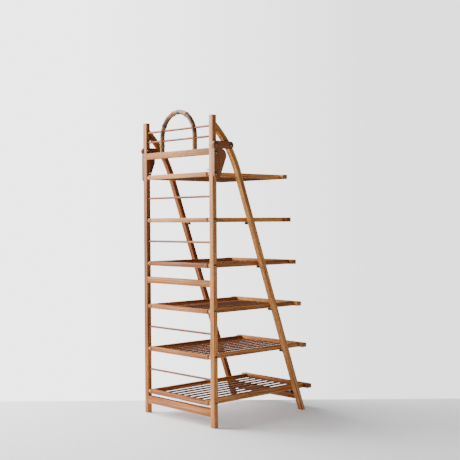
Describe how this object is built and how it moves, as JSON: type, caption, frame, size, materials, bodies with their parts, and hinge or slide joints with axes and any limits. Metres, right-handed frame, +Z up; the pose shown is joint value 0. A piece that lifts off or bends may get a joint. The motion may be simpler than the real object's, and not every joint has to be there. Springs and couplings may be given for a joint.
{
  "type": "ladder shelf",
  "caption": "Folding wooden rack: slatted trays pivot on a front ladder and rest on pegs of a linked rear leg frame; a bent bamboo carrying handle stands on top.",
  "frame": {"origin": "on the floor, under the middle of the standing rack's overall box", "axes": "+X to the right seen from the front, +Y from the front ladder to the rear legs, +Z up"},
  "size_m": [0.3852, 0.476, 1.0328],
  "materials": {
    "oiled_hardwood": "oiled satin",
    "rung_wood": "oiled satin",
    "peg_wood": "dark stained",
    "pale_wood": "oiled satin",
    "bamboo": "smooth rind with burnt bands",
    "antique_brass": "antique, dull",
    "dark_steel": "dull"
  },
  "bodies": {
    "ladder": {"bamboo_handle": "bamboo", "bottom_rail": "oiled_hardwood", "left_post": "oiled_hardwood", "left_stop_plate": "oiled_hardwood", "link_front_bolts": "antique_brass", "link_front_nuts": "dark_steel", "middle_rail": "oiled_hardwood", "post_pins": "dark_steel", "right_post": "oiled_hardwood", "right_stop_plate": "oiled_hardwood", "rung_1": "rung_wood", "rung_2": "rung_wood", "rung_3": "rung_wood", "rung_4": "rung_wood", "rung_5": "rung_wood", "rung_6": "rung_wood", "shelf_pivot_bolts": "antique_brass", "shelf_spacers": "pale_wood", "stop_plate_screws": "antique_brass", "top_rail": "oiled_hardwood", "top_shelf_pivot_bolts": "antique_brass"},
    "links": {"left_link": "oiled_hardwood", "right_link": "oiled_hardwood"},
    "leg_frame": {"left_leg": "oiled_hardwood", "right_leg": "oiled_hardwood", "leg_bottom_rail": "oiled_hardwood", "shelf_pegs": "peg_wood", "link_rear_bolts": "antique_brass", "link_rear_nuts": "dark_steel"},
    "shelf_1": {"shelf_1_front_rail": "oiled_hardwood", "shelf_1_left_rail": "oiled_hardwood", "shelf_1_rear_board": "oiled_hardwood", "shelf_1_right_rail": "oiled_hardwood", "shelf_1_slats": "oiled_hardwood"},
    "shelf_2": {"shelf_2_front_rail": "oiled_hardwood", "shelf_2_left_rail": "oiled_hardwood", "shelf_2_rear_board": "oiled_hardwood", "shelf_2_right_rail": "oiled_hardwood", "shelf_2_slats": "oiled_hardwood"},
    "shelf_3": {"shelf_3_front_rail": "oiled_hardwood", "shelf_3_left_rail": "oiled_hardwood", "shelf_3_rear_board": "oiled_hardwood", "shelf_3_right_rail": "oiled_hardwood", "shelf_3_slats": "oiled_hardwood"},
    "shelf_4": {"shelf_4_front_rail": "oiled_hardwood", "shelf_4_left_rail": "oiled_hardwood", "shelf_4_rear_board": "oiled_hardwood", "shelf_4_right_rail": "oiled_hardwood", "shelf_4_slats": "oiled_hardwood"},
    "shelf_5": {"shelf_5_front_rail": "oiled_hardwood", "shelf_5_left_rail": "oiled_hardwood", "shelf_5_rear_board": "oiled_hardwood", "shelf_5_right_rail": "oiled_hardwood", "shelf_5_slats": "oiled_hardwood"},
    "shelf_6": {"shelf_6_front_rail": "oiled_hardwood", "shelf_6_left_rail": "oiled_hardwood", "shelf_6_rear_board": "oiled_hardwood", "shelf_6_right_rail": "oiled_hardwood", "shelf_6_slats": "oiled_hardwood"}
  },
  "joints": [
    {"name": "link_fold", "type": "hinge", "parent": "ladder", "child": "links", "pos_m": [0, -0.22602, 0.905], "axis": [1, 0, 0], "range_deg": [0, 53]},
    {"name": "leg_fold", "type": "hinge", "parent": "links", "child": "leg_frame", "pos_m": [0, -0.16202, 0.905], "axis": [1, 0, 0], "range_deg": [-72.28, 0]},
    {"name": "shelf_1_tilt", "type": "hinge", "parent": "ladder", "child": "shelf_1", "pos_m": [0, -0.22602, 0.8115], "axis": [1, 0, 0], "range_deg": [0, 50.12]},
    {"name": "shelf_2_tilt", "type": "hinge", "parent": "ladder", "child": "shelf_2", "pos_m": [0, -0.22602, 0.6645], "axis": [1, 0, 0], "range_deg": [0, 50.12]},
    {"name": "shelf_3_tilt", "type": "hinge", "parent": "ladder", "child": "shelf_3", "pos_m": [0, -0.22602, 0.5175], "axis": [1, 0, 0], "range_deg": [0, 50.12]},
    {"name": "shelf_4_tilt", "type": "hinge", "parent": "ladder", "child": "shelf_4", "pos_m": [0, -0.22602, 0.3705], "axis": [1, 0, 0], "range_deg": [0, 50.12]},
    {"name": "shelf_5_tilt", "type": "hinge", "parent": "ladder", "child": "shelf_5", "pos_m": [0, -0.22602, 0.2235], "axis": [1, 0, 0], "range_deg": [0, 50.12]},
    {"name": "shelf_6_tilt", "type": "hinge", "parent": "ladder", "child": "shelf_6", "pos_m": [0, -0.22602, 0.0765], "axis": [1, 0, 0], "range_deg": [0, 50.12]}
  ],
  "couplings": [
    {"joint": "leg_fold", "follows": "link_fold", "ratio": -1.3636},
    {"joint": "shelf_1_tilt", "follows": "link_fold", "ratio": 0.94546},
    {"joint": "shelf_2_tilt", "follows": "link_fold", "ratio": 0.94546},
    {"joint": "shelf_3_tilt", "follows": "link_fold", "ratio": 0.94546},
    {"joint": "shelf_4_tilt", "follows": "link_fold", "ratio": 0.94546},
    {"joint": "shelf_5_tilt", "follows": "link_fold", "ratio": 0.94546},
    {"joint": "shelf_6_tilt", "follows": "link_fold", "ratio": 0.94546}
  ]
}
